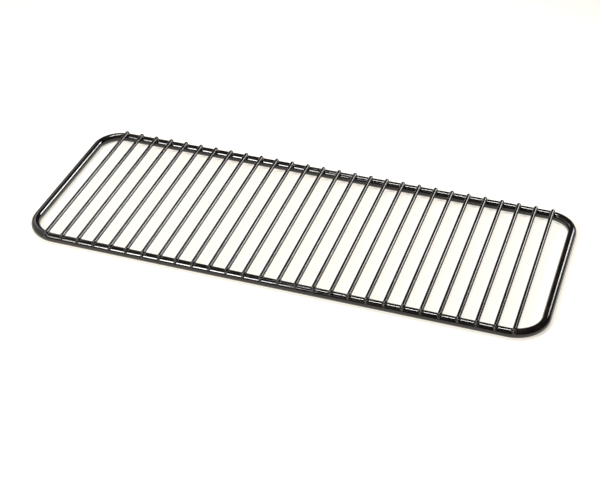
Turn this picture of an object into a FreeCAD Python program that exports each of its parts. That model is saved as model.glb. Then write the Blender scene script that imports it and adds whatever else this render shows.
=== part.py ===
"""Cooking grate of a hibachi grill: a bent perimeter rod with crossbars welded across it.

Frame of the model, in millimetres: X runs along the length of the grate, Y across it from
the front long side to the back one, and Z up. The origin is at the centre of the grate, on
the surface that the perimeter rod rests on.
"""
import FreeCAD, Part
import os
from math import radians

import Sketcher
from FreeCAD import Vector

SHEET = "Dimensions"

# Driving dimensions: (alias, value in millimetres or a plain count, meaning).
DIMENSIONS = [
    ("frame_length", 446.4, "perimeter rod, centre line to centre line along X"),
    ("frame_width", 167.4, "perimeter rod, centre line to centre line along Y"),
    ("front_bend_radius", 26.4, "centre-line radius of the two front bends"),
    ("back_bend_radius", 22.8, "centre-line radius of the two back bends"),
    ("rod_diameter", 7.8, "perimeter rod with its enamel"),
    ("bar_count", 28, "number of crossbars"),
    ("bar_pitch", 15.0, "centre distance of neighbouring crossbars"),
    ("bar_length", 172.4, "crossbar from tip to tip"),
    ("bar_diameter", 3.8, "crossbar with its enamel"),
    ("tip_rounding", 1.5, "rounding of the enamelled crossbar tips"),
    ("weld_setdown", 1.5, "how far the welding sinks a crossbar into the rod"),
]

# Heights above the resting surface, as expressions of the sheet's cells.
ROD_AXIS_HEIGHT = f"{SHEET}.rod_diameter / 2"
BAR_AXIS_HEIGHT = f"{SHEET}.rod_diameter + {SHEET}.bar_diameter / 2 - {SHEET}.weld_setdown"

# The four bends, counter-clockwise: (side along X, side along Y, long side, start angle).
BENDS = [
    (-1, -1, "front", 180),
    (1, -1, "front", 270),
    (1, 1, "back", 0),
    (-1, 1, "back", 90),
]

START = 1
END = 2


def make_sheet(doc):
    """Puts the driving dimensions into a spreadsheet, one named cell per row."""
    sheet = doc.addObject("Spreadsheet::Sheet", SHEET)
    for row, (alias, value, meaning) in enumerate(DIMENSIONS, start=1):
        sheet.set(f"A{row}", alias)
        sheet.set(f"B{row}", str(value))
        sheet.set(f"C{row}", meaning)
        sheet.setAlias(f"B{row}", alias)
    doc.recompute()
    return sheet


def new_sketch(body, name, plane_role):
    """Adds a sketch that lies on one of the body's own origin planes."""
    sketch = body.newObject("Sketcher::SketchObject", name)
    plane = next(item for item in body.Origin.OriginFeatures if item.Role == plane_role)
    sketch.AttachmentSupport = [(plane, "")]
    sketch.MapMode = "FlatFace"
    return sketch


def set_size(sketch, name, expression, kind, *arguments):
    """Adds a dimension to the sketch and binds it to the sheet."""
    index = sketch.addConstraint(Sketcher.Constraint(kind, *arguments))
    sketch.renameConstraint(index, name)
    sketch.setExpression(f"Constraints.{name}", expression)


def draw_centre_line(sketch, sheet):
    """Draws the closed centre line of the perimeter rod: straight runs and tangent bends.

    It starts and ends in the middle of the left short side, where the ring is butt welded.
    """
    half_length = sheet.frame_length / 2
    half_width = sheet.frame_width / 2
    closing_point = Vector(-half_length, 0, 0)
    pieces = []
    run_start = closing_point
    for side_x, side_y, long_side, start_angle in BENDS:
        radius = getattr(sheet, f"{long_side}_bend_radius")
        centre = Vector(side_x * (half_length - radius), side_y * (half_width - radius), 0)
        circle = Part.Circle(centre, Vector(0, 0, 1), radius)
        bend = Part.ArcOfCircle(circle, radians(start_angle), radians(start_angle + 90))
        pieces += [Part.LineSegment(run_start, bend.StartPoint), bend]
        run_start = bend.EndPoint
    pieces.append(Part.LineSegment(run_start, closing_point))
    indices = [sketch.addGeometry(piece) for piece in pieces]

    for before, after in zip(indices, indices[1:]):
        sketch.addConstraint(Sketcher.Constraint("Tangent", before, END, after, START))
    left_front_run, front_run, right_run, back_run, left_back_run = indices[::2]
    sketch.addConstraint(Sketcher.Constraint("Coincident", left_back_run, END, left_front_run, START))
    sketch.addConstraint(Sketcher.Constraint("PointOnObject", left_front_run, START, -1))
    sketch.addConstraint(Sketcher.Constraint("Vertical", left_front_run))
    sketch.addConstraint(Sketcher.Constraint("Horizontal", front_run))

    origin = (-1, 1)
    half_length_cell = f"{SHEET}.frame_length / 2"
    half_width_cell = f"{SHEET}.frame_width / 2"
    set_size(sketch, "left_side", half_length_cell,
             "DistanceX", left_front_run, START, *origin, half_length)
    set_size(sketch, "right_side", half_length_cell,
             "DistanceX", *origin, right_run, START, half_length)
    set_size(sketch, "back_side", half_width_cell,
             "DistanceY", *origin, back_run, START, half_width)
    set_size(sketch, "front_side", half_width_cell,
             "DistanceY", front_run, START, *origin, half_width)
    for index, (_, _, long_side, _) in zip(indices[1::2], BENDS):
        alias = f"{long_side}_bend_radius"
        set_size(sketch, f"bend_{index}", f"{SHEET}.{alias}", "Radius", index, getattr(sheet, alias))


def make_perimeter_rod(doc, sheet):
    """Bends the perimeter rod: a round section carried along the closed centre line."""
    body = doc.addObject("PartDesign::Body", "perimeter_rod")
    body.Label = "perimeter_rod"
    centre_line = new_sketch(body, "rod_centre_line", "XY_Plane")
    draw_centre_line(centre_line, sheet)

    section = new_sketch(body, "rod_section", "XZ_Plane")
    centre = Vector(-sheet.frame_length / 2, 0, 0)
    circle = section.addGeometry(Part.Circle(centre, Vector(0, 0, 1), sheet.rod_diameter / 2))
    section.addConstraint(Sketcher.Constraint("PointOnObject", circle, 3, -1))
    set_size(section, "side", f"{SHEET}.frame_length / 2",
             "DistanceX", circle, 3, -1, 1, sheet.frame_length / 2)
    set_size(section, "diameter", f"{SHEET}.rod_diameter", "Diameter", circle, sheet.rod_diameter)
    doc.recompute()

    pipe = body.newObject("PartDesign::AdditivePipe", "bent_rod")
    pipe.Profile = section
    pipe.Spine = centre_line
    body.setExpression("Placement.Base.z", ROD_AXIS_HEIGHT)
    doc.recompute()
    return body


def bar_position(number):
    """Gives a crossbar's place along X as an expression; number counts from 1 at the left."""
    return f"({number} - ({SHEET}.bar_count + 1) / 2) * {SHEET}.bar_pitch"


def make_bar_stock(doc, sheet, number):
    """Cuts one straight crossbar to length, with rounded tips, and lays it across the rod."""
    body = doc.addObject("PartDesign::Body", f"bar_stock_{number:02d}")
    section = new_sketch(body, f"bar_section_{number:02d}", "XZ_Plane")
    circle = section.addGeometry(Part.Circle(Vector(), Vector(0, 0, 1), sheet.bar_diameter / 2))
    section.addConstraint(Sketcher.Constraint("Coincident", circle, 3, -1, 1))
    set_size(section, "diameter", f"{SHEET}.bar_diameter", "Diameter", circle, sheet.bar_diameter)

    bar = body.newObject("PartDesign::Pad", f"bar_{number:02d}")
    bar.Profile = section
    bar.SideType = "Symmetric"
    bar.setExpression("Length", f"{SHEET}.bar_length")
    doc.recompute()

    tip_edges = [
        f"Edge{index}" for index, edge in enumerate(bar.Shape.Edges, start=1)
        if isinstance(edge.Curve, Part.Circle)
    ]
    tips = body.newObject("PartDesign::Fillet", f"tips_{number:02d}")
    tips.Base = (bar, tip_edges)
    tips.setExpression("Radius", f"{SHEET}.tip_rounding")
    body.setExpression("Placement.Base.x", bar_position(number))
    body.setExpression("Placement.Base.z", BAR_AXIS_HEIGHT)
    return body


def weld_bar(doc, stock, rod, number):
    """Presses the two seats into a crossbar, where the welding sinks it into the rod."""
    crossbar = doc.addObject("Part::Cut", f"crossbar_{number:02d}")
    crossbar.Label = f"crossbar_{number:02d}"
    crossbar.Base = stock
    crossbar.Tool = rod
    return crossbar


def check_document(doc, parts):
    """Stops if a feature failed to compute or a piece has no valid solid."""
    for item in doc.Objects:
        if {"Invalid", "Error"} & set(item.State):
            raise RuntimeError(f"{item.Label} failed: {item.State}")
    for part in parts:
        shape = part.Shape
        if shape.isNull() or not shape.isValid() or not shape.Solids:
            raise RuntimeError(f"{part.Label} has no valid solid")


def main():
    """Builds the grate and writes each piece to a STEP file of its own."""
    doc = FreeCAD.newDocument("hibachi_grate")
    sheet = make_sheet(doc)
    numbers = range(1, int(sheet.bar_count) + 1)

    rod = make_perimeter_rod(doc, sheet)
    stocks = [make_bar_stock(doc, sheet, number) for number in numbers]
    doc.recompute()
    crossbars = [weld_bar(doc, stock, rod, number) for number, stock in zip(numbers, stocks)]
    doc.recompute()

    parts = [rod, *crossbars]
    check_document(doc, parts)
    os.makedirs("parts", exist_ok=True)
    for part in parts:
        part.Shape.exportStep(f"parts/{part.Label}.step")
        box = part.Shape.optimalBoundingBox(False)
        print(f"{part.Label}: {len(part.Shape.Solids)} solid(s), {part.Shape.Volume:.1f} mm3,"
              f" {box.XLength:.1f} x {box.YLength:.1f} x {box.ZLength:.1f} mm")


main()
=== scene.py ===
"""Looks of a gloss-enamelled hibachi cooking grate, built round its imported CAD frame.

Lengths are in metres, in the frame of the CAD model: X runs along the grate, Y from its
front long side to its back one, and Z up from the surface that the grate lies on.
"""

import logging
import math
from dataclasses import dataclass
from enum import Enum
from typing import Any

import bmesh
import bpy
import numpy as np
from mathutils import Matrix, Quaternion, Vector


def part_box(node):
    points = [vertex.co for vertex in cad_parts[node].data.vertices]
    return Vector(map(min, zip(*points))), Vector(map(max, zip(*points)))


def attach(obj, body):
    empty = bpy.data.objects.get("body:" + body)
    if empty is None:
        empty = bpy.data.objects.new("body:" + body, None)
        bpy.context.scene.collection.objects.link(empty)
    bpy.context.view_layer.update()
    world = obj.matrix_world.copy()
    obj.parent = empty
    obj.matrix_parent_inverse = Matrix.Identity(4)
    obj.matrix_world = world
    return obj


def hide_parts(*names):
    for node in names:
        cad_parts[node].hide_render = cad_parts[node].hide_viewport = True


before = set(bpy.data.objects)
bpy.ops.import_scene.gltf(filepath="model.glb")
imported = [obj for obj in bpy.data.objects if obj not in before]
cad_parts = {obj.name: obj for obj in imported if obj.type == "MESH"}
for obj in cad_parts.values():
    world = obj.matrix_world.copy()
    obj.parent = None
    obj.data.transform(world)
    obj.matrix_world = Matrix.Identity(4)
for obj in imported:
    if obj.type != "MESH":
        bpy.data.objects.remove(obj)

MM = 0.001
BODY = "root"
log = logging.getLogger("grate")


# ---------------------------------------------------------------- helpers


def linear_colour(hex_code: str) -> tuple[float, float, float, float]:
    """Turns an sRGB hex colour into the linear colour that shaders take.

    Args:
        hex_code: six hex digits, with or without a leading #.

    Returns:
        Red, green, blue and an alpha of 1, linear.
    """
    digits = hex_code.lstrip("#")
    channels = [int(digits[i:i + 2], 16) / 255 for i in (0, 2, 4)]
    linear = [c / 12.92 if c <= 0.04045 else ((c + 0.055) / 1.055) ** 2.4 for c in channels]
    return (*linear, 1.0)


def add_node(tree: bpy.types.NodeTree, kind: str, inputs: dict | None = None,
             **settings: Any) -> bpy.types.Node:
    """Adds a node, sets its properties and fills its sockets.

    Args:
        tree: the node tree that gets the node.
        kind: the node's type name.
        inputs: socket name or number to a plain value, or to an output socket to link.
        settings: the node's own properties.

    Returns:
        The new node.
    """
    node = tree.nodes.new(kind)
    for name, value in settings.items():
        setattr(node, name, value)
    for key, value in (inputs or {}).items():
        if isinstance(value, bpy.types.NodeSocket):
            tree.links.new(value, node.inputs[key])
        else:
            node.inputs[key].default_value = value
    return node


class ShapeTree:
    """A geometry node tree with named inputs that makes one plain mesh."""

    def __init__(self, name: str) -> None:
        """Starts an empty tree.

        Args:
            name: the tree's name.
        """
        self.tree = bpy.data.node_groups.new(name, "GeometryNodeTree")
        self.values: dict[str, Any] = {}
        self.tree.interface.new_socket("Geometry", in_out="OUTPUT", socket_type="NodeSocketGeometry")
        self.entry = self.tree.nodes.new("NodeGroupInput")

    def take_points(self) -> bpy.types.NodeSocket:
        """Adds the input that brings the points given to make, before any other input."""
        self.tree.interface.new_socket("Points", in_out="INPUT", socket_type="NodeSocketGeometry")
        return self.entry.outputs["Points"]

    def take(self, name: str, value: Any, kind: str = "Float") -> bpy.types.NodeSocket:
        """Adds a named input and remembers what this object sets it to.

        Args:
            name: the input's name.
            value: the value that the modifier gives it.
            kind: the socket type's last word, such as Float, Int or Material.

        Returns:
            The input's socket inside the tree.
        """
        socket = self.tree.interface.new_socket(name, in_out="INPUT", socket_type=f"NodeSocket{kind}")
        self.values[socket.identifier] = value
        return self.entry.outputs[name]

    def add(self, kind: str, inputs: dict | None = None, **settings: Any) -> bpy.types.NodeSocket:
        """Adds a node and returns its first enabled output."""
        node = add_node(self.tree, kind, inputs, **settings)
        return next(output for output in node.outputs if output.enabled)

    def math(self, operation: str, *operands: Any) -> bpy.types.NodeSocket:
        """Adds a math node over the operands, plain numbers or sockets."""
        return self.add("ShaderNodeMath", dict(enumerate(operands)), operation=operation)

    def finish(self, geometry: bpy.types.NodeSocket, material: bpy.types.NodeSocket) -> None:
        """Ends the tree: realizes the instances, shades smoothly and sets the material.

        Args:
            geometry: what the tree has made.
            material: the socket that brings the material.
        """
        real = self.add("GeometryNodeRealizeInstances", {"Geometry": geometry})
        smooth = self.add("GeometryNodeSetShadeSmooth", {"Geometry": real})
        dressed = self.add("GeometryNodeSetMaterial", {"Geometry": smooth, "Material": material})
        add_node(self.tree, "NodeGroupOutput", {"Geometry": dressed})

    def make(self, name: str, points: list | None = None) -> bpy.types.Object:
        """Runs the tree once and keeps its result as a plain mesh.

        Args:
            name: the new object's name.
            points: what the tree's Points input gets, where it has one.

        Returns:
            An object at the origin that holds the finished mesh and no modifier.
        """
        start = bpy.data.meshes.new(f"{name}_tree")
        start.from_pydata(points or [], [], [])
        carrier = bpy.data.objects.new(f"{name}_tree", start)
        bpy.context.scene.collection.objects.link(carrier)
        modifier = carrier.modifiers.new(self.tree.name, "NODES")
        modifier.node_group = self.tree
        for identifier, value in self.values.items():
            modifier[identifier] = value
        depsgraph = bpy.context.evaluated_depsgraph_get()
        mesh = bpy.data.meshes.new_from_object(carrier.evaluated_get(depsgraph))
        mesh.name = name
        bpy.data.objects.remove(carrier)
        piece = bpy.data.objects.new(name, mesh)
        bpy.context.scene.collection.objects.link(piece)
        return piece


def ripple_in(shape: ShapeTree, geometry: bpy.types.NodeSocket, depth: bpy.types.NodeSocket,
              size: bpy.types.NodeSocket) -> bpy.types.NodeSocket:
    """Lets the surface sink in long soft ripples, as fired enamel does, and never swell.

    Args:
        shape: the tree to add the nodes to.
        geometry: the smooth surface.
        depth: the deepest ripple.
        size: the length of a ripple.

    Returns:
        The rippled geometry.
    """
    scale = shape.math("DIVIDE", 1.0, size)
    noise = shape.add("ShaderNodeTexNoise", {"Scale": scale, "Detail": 1.0})
    sink = shape.math("MULTIPLY", shape.math("MULTIPLY", noise, depth), -1.0)
    normal = shape.add("GeometryNodeInputNormal")
    offset = shape.add("ShaderNodeVectorMath", {0: normal, "Scale": sink}, operation="SCALE")
    return shape.add("GeometryNodeSetPosition", {"Geometry": geometry, "Offset": offset})


# ---------------------------------------------------------------- finishes


@dataclass(frozen=True)
class BlackEnamel:
    """Vitreous enamel, dipped and fired on steel rod: a black glass coat.

    The eye gets near-black depth with a faint warm cast, sharp window-like highlights that
    wander a little where the melt has flowed, and the fine dimples of orange peel.
    """

    body_hex: str = "#0d0b0b"
    thin_hex: str = "#1c1715"
    body_level: float = 0.42
    thin_level: float = 0.72
    ior: float = 1.54
    roughness_low: float = 0.07
    roughness_high: float = 0.16
    peel_low: float = 0.35
    peel_high: float = 0.75
    flow_size: float = 9 * MM
    flow_height: float = 0.05 * MM
    peel_size: float = 1.3 * MM
    peel_height: float = 0.006 * MM

    def build(self) -> bpy.types.Material:
        """Makes the material.

        Returns:
            A material that reads Object coordinates only.
        """
        material = bpy.data.materials.new("black_vitreous_enamel")
        material.use_nodes = True
        tree = material.node_tree
        tree.nodes.clear()
        place = add_node(tree, "ShaderNodeTexCoord").outputs["Object"]
        flow = add_node(tree, "ShaderNodeTexNoise", {
            "Vector": place, "Scale": 1 / self.flow_size, "Detail": 2.0}).outputs["Fac"]
        peel = add_node(tree, "ShaderNodeTexNoise", {
            "Vector": place, "Scale": 1 / self.peel_size, "Detail": 2.0}).outputs["Fac"]
        waves = add_node(tree, "ShaderNodeBump", {
            "Height": flow, "Strength": 1.0, "Distance": self.flow_height}).outputs["Normal"]
        dimples = add_node(tree, "ShaderNodeBump", {
            "Height": peel, "Strength": 1.0, "Distance": self.peel_height,
            "Normal": waves}).outputs["Normal"]
        colour = add_node(tree, "ShaderNodeValToRGB", {"Fac": flow})
        low, high = colour.color_ramp.elements
        low.position, low.color = self.body_level, linear_colour(self.body_hex)
        high.position, high.color = self.thin_level, linear_colour(self.thin_hex)
        gloss = add_node(tree, "ShaderNodeMapRange", {
            "Value": peel, "From Min": self.peel_low, "From Max": self.peel_high,
            "To Min": self.roughness_low, "To Max": self.roughness_high}).outputs["Result"]
        surface = add_node(tree, "ShaderNodeBsdfPrincipled", {
            "Base Color": colour.outputs["Color"], "Roughness": gloss, "IOR": self.ior,
            "Normal": dimples})
        add_node(tree, "ShaderNodeOutputMaterial", {"Surface": surface.outputs["BSDF"]})
        return material


@dataclass(frozen=True)
class StudioPaper:
    """Uncoated white background paper, lit from above, with a painted glow in its surface.

    The eye gets a field of warm white with no edge, which stays white in the narrow gaps
    between the bars and takes only soft, thin shadows, because the painted glow fills them.
    The painted glow fades away from the middle of the paper, which paints the far paper
    darker. Real fibres are finer; these are drawn as coarse as they need to show.
    """

    paper_hex: str = "#b2ada5"
    roughness: float = 0.9
    # painted glow: the paper's own emission, which stands in for light that no lamp gives
    painted_glow_hex: str = "#fffaf0"
    painted_glow: float = 0.64
    painted_glow_edge: float = 0.35
    painted_glow_end: float = 0.9
    fibre_size: float = 4 * MM
    fibre_height: float = 0.1 * MM
    fibre_strength: float = 0.1

    def build(self) -> bpy.types.Material:
        """Makes the material.

        Returns:
            A matt material with a faint painted glow, no lamp, and a barely visible fibre.
        """
        material = bpy.data.materials.new("matt_white_paper_painted_glow")
        material.use_nodes = True
        tree = material.node_tree
        tree.nodes.clear()
        place = add_node(tree, "ShaderNodeTexCoord").outputs["Object"]
        fibre = add_node(tree, "ShaderNodeTexNoise", {
            "Vector": place, "Scale": 1 / self.fibre_size, "Detail": 4.0}).outputs["Fac"]
        grain = add_node(tree, "ShaderNodeBump", {
            "Height": fibre, "Strength": self.fibre_strength,
            "Distance": self.fibre_height}).outputs["Normal"]
        from_centre = add_node(
            tree, "ShaderNodeVectorMath", {0: place}, operation="LENGTH").outputs["Value"]
        # painted glow: emission in the paper that fills its shadows and fades away from the middle,
        # painting the far paper darker
        painted_glow = add_node(tree, "ShaderNodeMapRange", {
            "Value": from_centre, "From Min": self.painted_glow_edge, "From Max": self.painted_glow_end,
            "To Min": self.painted_glow, "To Max": 0.0}, interpolation_type="SMOOTHSTEP").outputs["Result"]
        surface = add_node(tree, "ShaderNodeBsdfPrincipled", {
            "Base Color": linear_colour(self.paper_hex), "Roughness": self.roughness,
            "Normal": grain,
            "Emission Color": linear_colour(self.painted_glow_hex), "Emission Strength": painted_glow})
        add_node(tree, "ShaderNodeOutputMaterial", {"Surface": surface.outputs["BSDF"]})
        return material


# ---------------------------------------------------------------- the grate


class LongSide(Enum):
    """A long side of the grate, by the direction from the centre to it along Y."""

    FRONT = -1
    BACK = 1


@dataclass
class GrateSizes:
    """The sizes that the pieces share, read from the CAD frame."""

    rod_radius: float
    half_length: float
    half_width: float
    bar_radius: float
    bar_half_length: float
    bar_axis_height: float
    bar_places: list[float]
    front_bend_radius: float = 26.4 * MM
    back_bend_radius: float = 22.8 * MM

    @classmethod
    def from_frame(cls) -> "GrateSizes":
        """Measures the CAD nodes' boxes.

        Returns:
            The sizes of the rod and the crossbars.
        """
        rod_low, rod_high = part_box("perimeter_rod")
        rod_radius = (rod_high.z - rod_low.z) / 2
        bar_nodes = sorted(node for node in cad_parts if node.startswith("crossbar"))
        bar_boxes = [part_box(node) for node in bar_nodes]
        first_low, first_high = bar_boxes[0]
        bar_radius = (first_high.x - first_low.x) / 2
        return cls(
            rod_radius=rod_radius,
            half_length=rod_high.x - rod_radius,
            half_width=rod_high.y - rod_radius,
            bar_radius=bar_radius,
            bar_half_length=(first_high.y - first_low.y) / 2,
            bar_axis_height=first_high.z - bar_radius,
            bar_places=[(low.x + high.x) / 2 for low, high in bar_boxes],
        )

    @property
    def bar_pitch(self) -> float:
        """Centre distance of neighbouring crossbars."""
        return (self.bar_places[-1] - self.bar_places[0]) / (len(self.bar_places) - 1)

    def bend_radius(self, side: LongSide) -> float:
        """Centre-line radius of the two bends at a long side."""
        return self.front_bend_radius if side is LongSide.FRONT else self.back_bend_radius


@dataclass
class PerimeterRod:
    """The thick rod, bent into a rounded rectangle and butt welded to itself."""

    sizes: GrateSizes
    bend_steps: int = 48
    station_spacing: float = 1.6 * MM
    sides: int = 56
    ripple_depth: float = 0.05 * MM
    ripple_size: float = 24 * MM

    def build(self, material: bpy.types.Material) -> bpy.types.Object:
        """Sweeps the round section along the bent centre line.

        Args:
            material: the enamel.

        Returns:
            The finished piece, riding on the grate's body.
        """
        shape = ShapeTree("bent_rod")
        width = shape.take("Length", 2 * self.sizes.half_length)
        height = shape.take("Width", 2 * self.sizes.half_width)
        front = shape.take("Front Bend Radius", self.sizes.front_bend_radius)
        back = shape.take("Back Bend Radius", self.sizes.back_bend_radius)
        radius = shape.take("Rod Radius", self.sizes.rod_radius)
        steps = shape.take("Bend Steps", self.bend_steps, "Int")
        spacing = shape.take("Station Spacing", self.station_spacing)
        sides = shape.take("Sides", self.sides, "Int")
        depth = shape.take("Ripple Depth", self.ripple_depth)
        size = shape.take("Ripple Size", self.ripple_size)
        finish = shape.take("Material", material, "Material")

        outline = shape.add("GeometryNodeCurvePrimitiveQuadrilateral",
                            {"Width": width, "Height": height})
        place = add_node(shape.tree, "ShaderNodeSeparateXYZ",
                         {0: shape.add("GeometryNodeInputPosition")})
        at_back = shape.math("GREATER_THAN", place.outputs["Y"], 0.0)
        bend = shape.math("MULTIPLY_ADD", at_back, shape.math("SUBTRACT", back, front), front)
        bent = shape.add("GeometryNodeFilletCurve",
                         {"Curve": outline, "Count": steps, "Radius": bend}, mode="POLY")
        even = shape.add("GeometryNodeResampleCurve", {"Curve": bent, "Length": spacing}, mode="LENGTH")
        upright = shape.add("GeometryNodeSetCurveNormal", {"Curve": even}, mode="Z_UP")
        section = shape.add("GeometryNodeCurvePrimitiveCircle", {"Resolution": sides, "Radius": radius})
        tube = shape.add("GeometryNodeCurveToMesh", {"Curve": upright, "Profile Curve": section})
        lift = add_node(shape.tree, "ShaderNodeCombineXYZ", {"Z": radius}).outputs["Vector"]
        raised = shape.add("GeometryNodeSetPosition", {"Geometry": tube, "Offset": lift})
        shape.finish(ripple_in(shape, raised, depth, size), finish)
        piece = shape.make("perimeter_rod_enamelled")
        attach(piece, BODY)
        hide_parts("perimeter_rod")
        return piece


@dataclass
class Crossbars:
    """The thin straight bars that lie across the rod and carry the food."""

    sizes: GrateSizes
    shank_share: float = 0.99
    taper_end: float = 3.0
    dome_seam: float = 0.01 * MM
    stations: int = 120
    sides: int = 28
    wander: float = 0.15 * MM
    seed: int = 11
    ripple_depth: float = 0.03 * MM
    ripple_size: float = 17 * MM

    def build(self, material: bpy.types.Material) -> bpy.types.Object:
        """Makes one bar with domed enamel tips and sets the row of them along the grate.

        The stations crowd towards the tips by a cosine rule. Enamel gathers on the tips, so
        the shank between them is a little thinner, from taper_end bar radii inward.

        Args:
            material: the enamel.

        Returns:
            The finished row of bars, riding on the grate's body.
        """
        sizes = self.sizes
        shape = ShapeTree("row_of_crossbars")
        count = shape.take("Bar Count", len(sizes.bar_places), "Int")
        pitch = shape.take("Bar Pitch", sizes.bar_pitch)
        first = shape.take("First Bar", sizes.bar_places[0])
        height = shape.take("Axis Height", sizes.bar_axis_height)
        half_length = shape.take("Half Length", sizes.bar_half_length - self.wander)
        radius = shape.take("Tip Radius", sizes.bar_radius)
        share = shape.take("Shank Share", self.shank_share)
        stations = shape.take("Stations", self.stations, "Int")
        sides = shape.take("Sides", self.sides, "Int")
        wander = shape.take("Wander", self.wander)
        seed = shape.take("Seed", self.seed, "Int")
        depth = shape.take("Ripple Depth", self.ripple_depth)
        size = shape.take("Ripple Size", self.ripple_size)
        finish = shape.take("Material", material, "Material")

        line = shape.add("GeometryNodeMeshLine", {"Count": stations})
        step = shape.math("DIVIDE", shape.add("GeometryNodeInputIndex"),
                          shape.math("SUBTRACT", stations, 1.0))
        swing = shape.math("COSINE", shape.math("MULTIPLY", step, math.pi))
        reach = shape.math("MULTIPLY", swing, half_length)
        along = shape.add("ShaderNodeCombineXYZ", {"Y": reach})
        spread = shape.add("GeometryNodeSetPosition", {"Geometry": line, "Position": along})
        axis = shape.add("GeometryNodeMeshToCurve", {"Mesh": spread})

        place = add_node(shape.tree, "ShaderNodeSeparateXYZ",
                         {0: shape.add("GeometryNodeInputPosition")})
        from_tip = shape.math("SUBTRACT", half_length, shape.math("ABSOLUTE", place.outputs["Y"]))
        in_dome = shape.math("MINIMUM", shape.math("MAXIMUM", from_tip, 0.0), radius)
        dome = shape.math("SQRT", shape.math("MULTIPLY", in_dome, shape.math(
            "SUBTRACT", shape.math("MULTIPLY", radius, 2.0), in_dome)))
        taper = shape.add("ShaderNodeMapRange", {
            "Value": from_tip, "From Min": radius,
            "From Max": shape.math("MULTIPLY", radius, self.taper_end),
            "To Min": 1.0, "To Max": share}, interpolation_type="SMOOTHSTEP")
        section = shape.add("GeometryNodeCurvePrimitiveCircle", {"Resolution": sides, "Radius": 1.0})
        tube = shape.add("GeometryNodeCurveToMesh", {
            "Curve": axis, "Profile Curve": section, "Scale": shape.math("MULTIPLY", dome, taper)})
        bar = shape.add("GeometryNodeMergeByDistance", {"Geometry": tube, "Distance": self.dome_seam})

        start = shape.add("ShaderNodeCombineXYZ", {"X": first, "Z": height})
        stride = shape.add("ShaderNodeCombineXYZ", {"X": pitch})
        places = shape.add("GeometryNodeMeshLine",
                           {"Count": count, "Start Location": start, "Offset": stride})
        row = shape.add("GeometryNodeInstanceOnPoints", {"Points": places, "Instance": bar})
        low = shape.math("MULTIPLY", wander, -1.0)
        slip = shape.add("FunctionNodeRandomValue", {2: low, 3: wander, "Seed": seed})
        moved = shape.add("GeometryNodeTranslateInstances", {
            "Instances": row, "Translation": shape.add("ShaderNodeCombineXYZ", {"Y": slip})})
        real = shape.add("GeometryNodeRealizeInstances", {"Geometry": moved})
        shape.finish(ripple_in(shape, real, depth, size), finish)
        piece = shape.make("crossbars_enamelled")
        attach(piece, BODY)
        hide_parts(*sorted(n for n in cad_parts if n.startswith("crossbar")))
        return piece

    def tips(self, piece: bpy.types.Object, side: LongSide) -> np.ndarray:
        """Measures how far each finished bar reaches towards one long side.

        Args:
            piece: the finished row of bars.
            side: the long side.

        Returns:
            One distance from the centre line of the grate per bar.
        """
        points = np.empty(len(piece.data.vertices) * 3)
        piece.data.vertices.foreach_get("co", points)
        points = points.reshape(-1, 3)
        reach = points[:, 1] * side.value
        near = self.sizes.bar_pitch / 2
        return np.array([reach[abs(points[:, 0] - x) < near].max() for x in self.sizes.bar_places])


def length_of(vectors: np.ndarray) -> np.ndarray:
    """Gives the length of each vector in an array, keeping its last axis."""
    return np.linalg.norm(vectors, axis=-1, keepdims=True)


def dot(first: np.ndarray, second: np.ndarray) -> np.ndarray:
    """Gives the dot product of each pair of vectors, keeping their last axis."""
    return (first * second).sum(axis=-1, keepdims=True)


def turn_outward(mesh: bpy.types.Mesh) -> None:
    """Turns every face of a closed mesh to point out of it.

    Args:
        mesh: the mesh, changed in place.
    """
    work = bmesh.new()
    work.from_mesh(mesh)
    bmesh.ops.recalc_face_normals(work, faces=work.faces)
    work.to_mesh(mesh)
    work.free()


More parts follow.
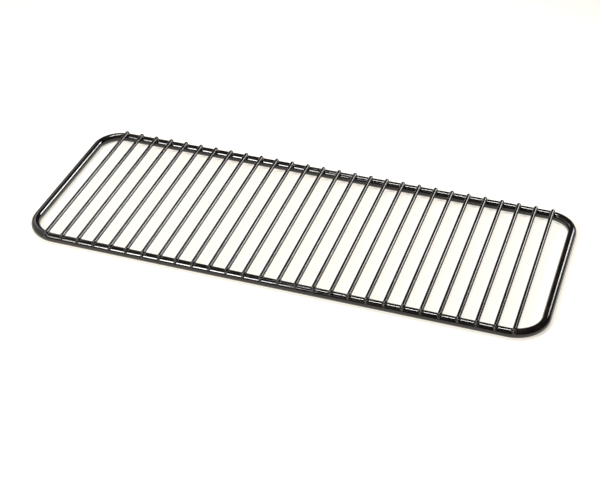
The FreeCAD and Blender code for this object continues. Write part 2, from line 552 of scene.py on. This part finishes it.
@dataclass
class WeldFillets:
    """The collars of squeezed-out metal and pooled enamel round the crossings of a long side.

    Each collar is the surface that a small ball sweeps as it rolls round the notch between
    the rod and a bar, touching both. The ball is a little larger under the bar's tip, where
    the enamel pools.
    """

    crossbars: Crossbars
    side: LongSide
    tips: np.ndarray
    throat: float = 0.5 * MM
    tip_throat: float = 0.6 * MM
    unevenness: float = 0.25
    around: int = 52
    across: int = 8
    seed: int = 5
    search_reach: float = 7 * MM
    search_rounds: int = 30
    rolling_rounds: int = 12
    slope_step: float = 0.01 * MM

    @property
    def sizes(self) -> GrateSizes:
        """The sizes that the pieces share."""
        return self.crossbars.sizes

    @property
    def headings(self) -> np.ndarray:
        """Directions round a crossing, from along the rod; a quarter turn on is outward."""
        return np.linspace(0, 2 * math.pi, self.around, endpoint=False)

    def rod_frame(self, arc: np.ndarray) -> tuple[np.ndarray, np.ndarray]:
        """Follows the rod's centre line along the long side and into its bends.

        Args:
            arc: signed arc lengths from the middle of the long side.

        Returns:
            Points of the centre line, and the outward directions there.
        """
        sizes = self.sizes
        bend = sizes.bend_radius(self.side)
        straight = sizes.half_length - bend
        turn = np.maximum(abs(arc) - straight, 0) / bend
        x = np.sign(arc) * (np.minimum(abs(arc), straight) + bend * np.sin(turn))
        y = self.side.value * (sizes.half_width - bend + bend * np.cos(turn))
        centre = np.stack([x, y, np.full_like(x, sizes.rod_radius)], axis=-1)
        outward = np.stack([np.sign(arc) * np.sin(turn), self.side.value * np.cos(turn),
                            np.zeros_like(x)], axis=-1)
        return centre, outward

    def above_rod(self, points: np.ndarray) -> np.ndarray:
        """Measures how far points are from the rod's surface.

        Args:
            points: the points.

        Returns:
            One distance per point, negative inside the rod.
        """
        sizes = self.sizes
        bend = sizes.bend_radius(self.side)
        past = np.maximum(abs(points[..., 0]) - (sizes.half_length - bend), 0)
        inner = self.side.value * points[..., 1] - (sizes.half_width - bend)
        sideways = np.hypot(past, inner) - bend
        return np.hypot(sideways, points[..., 2] - sizes.rod_radius)[..., None] - sizes.rod_radius

    def above_bar(self, points: np.ndarray) -> np.ndarray:
        """Measures how far points are from the surface of the bar that they belong to.

        Args:
            points: the points, by crossing and then in any order.

        Returns:
            One distance per point, negative inside the bar.
        """
        sizes = self.sizes
        radius = sizes.bar_radius
        from_tip = self.tips[:, None] - self.side.value * points[..., 1]
        ease = np.clip((from_tip - radius) / ((self.crossbars.taper_end - 1) * radius), 0, 1)
        ease = ease * ease * (3 - 2 * ease)
        shank = radius * (1 - (1 - self.crossbars.shank_share) * ease)
        beyond = np.maximum(radius - from_tip, 0)
        across = points[..., 0] - np.array(sizes.bar_places)[:, None]
        up = points[..., 2] - sizes.bar_axis_height
        return (np.sqrt(across ** 2 + up ** 2 + beyond ** 2) - shank)[..., None]

    def away_from(self, surface: Any, points: np.ndarray) -> np.ndarray:
        """Gives the unit direction in which the distance to a surface grows.

        Args:
            surface: above_rod or above_bar.
            points: where to measure it.

        Returns:
            One unit vector per point.
        """
        steps = self.slope_step * np.eye(3)
        slopes = [surface(points + step) - surface(points - step) for step in steps]
        slope = np.concatenate(slopes, axis=-1)
        return slope / length_of(slope)

    def crease(self) -> np.ndarray:
        """Finds the closed line round each bar along which it meets the rod.

        Returns:
            Points by crossing and by direction round the crossing.
        """
        sizes = self.sizes
        bend = sizes.bend_radius(self.side)
        straight = sizes.half_length - bend
        places = np.array(sizes.bar_places)
        past = np.maximum(abs(places) - straight, 0)
        middle = np.sign(places) * (np.minimum(abs(places), straight) + bend * np.arcsin(past / bend))
        upward = np.array([0.0, 0.0, 1.0])
        near = np.zeros((len(places), self.around))
        far = np.full_like(near, self.search_reach)
        for _ in range(self.search_rounds):
            reach = (near + far) / 2
            centre, outward = self.rod_frame(middle[:, None] + reach * np.cos(self.headings))
            lean = (reach * np.sin(self.headings) / sizes.rod_radius)[..., None]
            points = centre + sizes.rod_radius * (np.sin(lean) * outward + np.cos(lean) * upward)
            inside = self.above_bar(points)[..., 0] < 0
            near = np.where(inside, reach, near)
            far = np.where(inside, far, reach)
        return points

    def rows(self) -> np.ndarray:
        """Rolls the ball round every crossing and lays out the collar's rows of points.

        Returns:
            Points by crossing, by direction round it and by row from the bar to the rod.
        """
        points = self.crease()
        off_bar = self.away_from(self.above_bar, points)
        off_rod = self.away_from(self.above_rod, points)
        rng = np.random.default_rng(self.seed + self.side.value)
        uneven = 1 + self.unevenness * rng.uniform(-1, 1, (len(points), 1))
        pooled = np.maximum(np.sin(self.headings), 0) ** 2
        ball = (uneven * (self.throat + (self.tip_throat - self.throat) * pooled))[..., None]
        centre = points + ball * (off_bar + off_rod) / (1 + dot(off_bar, off_rod))
        for _ in range(self.rolling_rounds):
            off_bar = self.away_from(self.above_bar, centre)
            off_rod = self.away_from(self.above_rod, centre)
            short_bar = ball - self.above_bar(centre)
            short_rod = ball - self.above_rod(centre)
            cosine = dot(off_bar, off_rod)
            sine_squared = 1 - cosine ** 2
            centre = centre + (off_bar * (short_bar - cosine * short_rod)
                               + off_rod * (short_rod - cosine * short_bar)) / sine_squared
        to_bar = -self.away_from(self.above_bar, centre)
        to_rod = -self.away_from(self.above_rod, centre)
        opening = np.arccos(np.clip(dot(to_bar, to_rod), -1, 1))
        arcs = []
        for share in np.linspace(0, 1, self.across):
            mix = np.sin((1 - share) * opening) * to_bar + np.sin(share * opening) * to_rod
            arcs.append(centre + ball * mix / np.sin(opening))
        bar_skirt, bar_root = self.skirt(arcs[0], to_bar, to_rod)
        rod_skirt, rod_root = self.skirt(arcs[-1], to_rod, to_bar)
        return np.stack([bar_root, bar_skirt, *arcs, rod_skirt, rod_root], axis=2)

    def skirt(self, edge: np.ndarray, down: np.ndarray, other: np.ndarray,
              overlap: float = 0.25 * MM, sink: float = 0.06 * MM,
              root: float = 0.5 * MM) -> tuple[np.ndarray, np.ndarray]:
        """Carries the collar's edge on under the surface that it meets, so no seam shows.

        Args:
            edge: the touching points.
            down: directions into the surface there.
            other: directions into the other surface.
            overlap: how far the skirt runs on along the surface.
            sink: how deep its rim lies.
            root: how deep the collar closes.

        Returns:
            The skirt's rim, and the points where the collar closes.
        """
        onward = down * dot(down, other) - other
        onward = onward / length_of(onward)
        return edge + overlap * onward + sink * down, edge + root * down

    def build(self, material: bpy.types.Material) -> bpy.types.Object:
        """Closes each collar into a ring of its own and dresses them.

        Args:
            material: the enamel.

        Returns:
            The finished collars of the long side, riding on the grate's body.
        """
        rows = self.rows()
        crossings, around, across, _ = rows.shape
        index = np.arange(crossings * around * across).reshape(crossings, around, across)
        next_around = np.roll(index, -1, axis=1)
        next_across = np.roll(index, -1, axis=2)
        corner = np.roll(next_around, -1, axis=2)
        faces = np.stack([index, next_around, corner, next_across], axis=-1).reshape(-1, 4)
        name = f"{self.side.name.lower()}_weld_fillets"
        mesh = bpy.data.meshes.new(name)
        mesh.from_pydata(rows.reshape(-1, 3).tolist(), [], faces.tolist())
        turn_outward(mesh)
        mesh.polygons.foreach_set("use_smooth", [True] * len(mesh.polygons))
        mesh.materials.append(material)
        piece = bpy.data.objects.new(name, mesh)
        bpy.context.scene.collection.objects.link(piece)
        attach(piece, BODY)
        return piece


@dataclass
class TipBeads:
    """The beads of fired enamel that hang from the bar tips onto the rod's outer flank."""

    sizes: GrateSizes
    side: LongSide
    radius: float = 1.6 * MM
    overhang: float = 2.1 * MM
    drop: float = 1.95 * MM
    unevenness: float = 0.06
    segments: int = 24
    seed: int = 23

    def places(self) -> list[tuple[float, float, float]]:
        """Finds the middle of each bead, past the rod's axis and below the bars' axes.

        Returns:
            One point per bar. A bead that swells hangs further out and lower.
        """
        sizes = self.sizes
        rng = np.random.default_rng(self.seed + self.side.value)
        places = []
        for x in sizes.bar_places:
            swell = 1 + self.unevenness * rng.uniform(-1, 1)
            reach = sizes.half_width + self.overhang * swell
            places.append((x, self.side.value * reach, sizes.bar_axis_height - self.drop * swell))
        return places

    def build(self, material: bpy.types.Material) -> bpy.types.Object:
        """Sets one bead under each tip of the long side.

        Args:
            material: the enamel.

        Returns:
            The beads of the long side, riding on the grate's body.
        """
        shape = ShapeTree("row_of_tip_beads")
        places = shape.take_points()
        radius = shape.take("Bead Radius", self.radius)
        segments = shape.take("Segments", self.segments, "Int")
        finish = shape.take("Material", material, "Material")
        rings = shape.math("DIVIDE", segments, 2.0)
        bead = shape.add("GeometryNodeMeshUVSphere",
                         {"Segments": segments, "Rings": rings, "Radius": radius})
        row = shape.add("GeometryNodeInstanceOnPoints", {"Points": places, "Instance": bead})
        shape.finish(row, finish)
        piece = shape.make(f"{self.side.name.lower()}_tip_beads", self.places())
        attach(piece, BODY)
        return piece


# ---------------------------------------------------------------- the studio


@dataclass(frozen=True)
class Softbox:
    """A rectangular soft light that looks at the grate.

    Its radiance is the one along its axis. A grid on it narrows the fan of its light, in
    degrees; a fan of 180 is no grid.
    """

    name: str
    place: tuple[float, float, float]
    aim: tuple[float, float, float]
    width: float
    height: float
    radiance: float
    colour_hex: str = "#ffffff"
    fan: float = 180.0

    def build(self) -> bpy.types.Object:
        """Hangs the light.

        Returns:
            The light's object.
        """
        light = bpy.data.lights.new(self.name, "AREA")
        light.shape = "RECTANGLE"
        light.size = self.width
        light.size_y = self.height
        half_fan = math.radians(self.fan) / 2
        grid_gain = 1 / (1 - half_fan / math.tan(half_fan))
        light.spread = 2 * half_fan
        light.energy = self.radiance * math.pi * self.width * self.height / grid_gain
        light.color = linear_colour(self.colour_hex)[:3]
        lamp = bpy.data.objects.new(self.name, light)
        towards = Vector(self.aim) - Vector(self.place)
        lamp.rotation_euler = towards.to_track_quat("-Z", "Y").to_euler()
        lamp.location = self.place
        bpy.context.scene.collection.objects.link(lamp)
        return lamp


@dataclass(frozen=True)
class Studio:
    """Lit white paper, soft lights and the camera."""

    floor_half_size: float = 4.0
    camera_azimuth: float = 18.58
    camera_elevation: float = 36.50
    camera_distance: float = 1.1644
    camera_aim: tuple[float, float, float] = (0.00672, -0.02570, 0.00821)
    camera_roll: float = -0.085
    lens: float = 82.45
    sensor_width: float = 36.0
    sky_hex: str = "#c4b4a2"
    sky_strength: float = 0.08

    def softboxes(self) -> list[Softbox]:
        """Lists the lights by what they draw on the enamel.

        Returns:
            The key at the front left with a weaker one beside it, for the broad line along
            the long sides; one overhead, for the fine line on top of them; two at the back,
            for the lines along the bars, the first with a grid that favours the left end;
            and a panel and a wall at the left, for the pale haze on that end.
        """
        centre = (0.0, 0.0, 0.0)
        return [
            Softbox("key_softbox", (-0.78, -1.56, 1.36), centre, 0.45, 0.62, 40.0),
            Softbox("side_softbox", (-1.25, -1.35, 1.50), centre, 0.50, 0.60, 10.0),
            Softbox("top_softbox", (-0.13, 0.40, 2.20), centre, 0.87, 0.20, 66.0),
            Softbox("back_softbox", (0.49, 0.95, 0.64), (-0.22, -0.06, 0.0), 0.24, 0.24, 37.0, fan=52.0),
            Softbox("back_strip", (0.64, 0.95, 0.42), centre, 0.30, 0.28, 2.0),
            Softbox("left_panel", (-1.02, 0.95, 0.84), centre, 0.55, 0.50, 2.0, "#f2f6ff"),
            Softbox("left_wall", (-1.15, -0.10, 0.65), (0.0, -0.10, 0.1), 1.50, 1.10, 0.9, "#fffaf4"),
        ]

    def build_floor(self, material: bpy.types.Material) -> bpy.types.Object:
        """Lays the paper that the grate lies on.

        Args:
            material: the paper.

        Returns:
            The floor.
        """
        half = self.floor_half_size
        corners = [(-half, -half, 0.0), (half, -half, 0.0), (half, half, 0.0), (-half, half, 0.0)]
        mesh = bpy.data.meshes.new("paper_sweep")
        mesh.from_pydata(corners, [], [(0, 1, 2, 3)])
        mesh.materials.append(material)
        floor = bpy.data.objects.new("paper_sweep", mesh)
        bpy.context.scene.collection.objects.link(floor)
        return floor

    def build_camera(self) -> bpy.types.Object:
        """Sets the camera up in front of the grate, to the right and well above it.

        Returns:
            The camera.
        """
        azimuth = math.radians(self.camera_azimuth)
        elevation = math.radians(self.camera_elevation)
        forward = Vector((-math.sin(azimuth) * math.cos(elevation),
                          math.cos(azimuth) * math.cos(elevation), -math.sin(elevation)))
        data = bpy.data.cameras.new("camera")
        data.lens = self.lens
        data.sensor_width = self.sensor_width
        camera = bpy.data.objects.new("camera", data)
        camera.location = Vector(self.camera_aim) - self.camera_distance * forward
        roll = Quaternion((0.0, 0.0, 1.0), math.radians(self.camera_roll))
        camera.rotation_euler = (forward.to_track_quat("-Z", "Y") @ roll).to_euler()
        bpy.context.scene.collection.objects.link(camera)
        bpy.context.scene.camera = camera
        return camera

    def build_sky(self) -> bpy.types.World:
        """Fills the rest of the room with a dim, warm, even grey.

        Returns:
            The world.
        """
        world = bpy.data.worlds.new("studio_room")
        world.use_nodes = True
        background = world.node_tree.nodes["Background"]
        background.inputs["Color"].default_value = linear_colour(self.sky_hex)
        background.inputs["Strength"].default_value = self.sky_strength
        bpy.context.scene.world = world
        return world

    def build(self) -> None:
        """Builds the whole studio."""
        self.build_floor(StudioPaper().build())
        for softbox in self.softboxes():
            softbox.build()
        self.build_sky()
        self.build_camera()
        bpy.context.scene.view_settings.view_transform = "Standard"


def report(piece: bpy.types.Object) -> bpy.types.Object:
    """Logs a finished piece and passes it on.

    Args:
        piece: the piece.

    Returns:
        The same piece.
    """
    triangles = sum(len(polygon.vertices) - 2 for polygon in piece.data.polygons)
    log.info("%s: %d triangles", piece.name, triangles)
    return piece


def main() -> None:
    """Builds the grate and its studio, and logs the triangle count of each enamelled piece."""
    logging.basicConfig(level=logging.INFO, format="%(name)s %(message)s")
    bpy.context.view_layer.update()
    sizes = GrateSizes.from_frame()
    enamel = BlackEnamel().build()
    report(PerimeterRod(sizes).build(enamel))
    crossbars = Crossbars(sizes)
    row = report(crossbars.build(enamel))
    for side in LongSide:
        tips = crossbars.tips(row, side)
        report(WeldFillets(crossbars, side, tips).build(enamel))
        report(TipBeads(sizes, side).build(enamel))
    Studio().build()


if __name__ == "__main__":
    main()
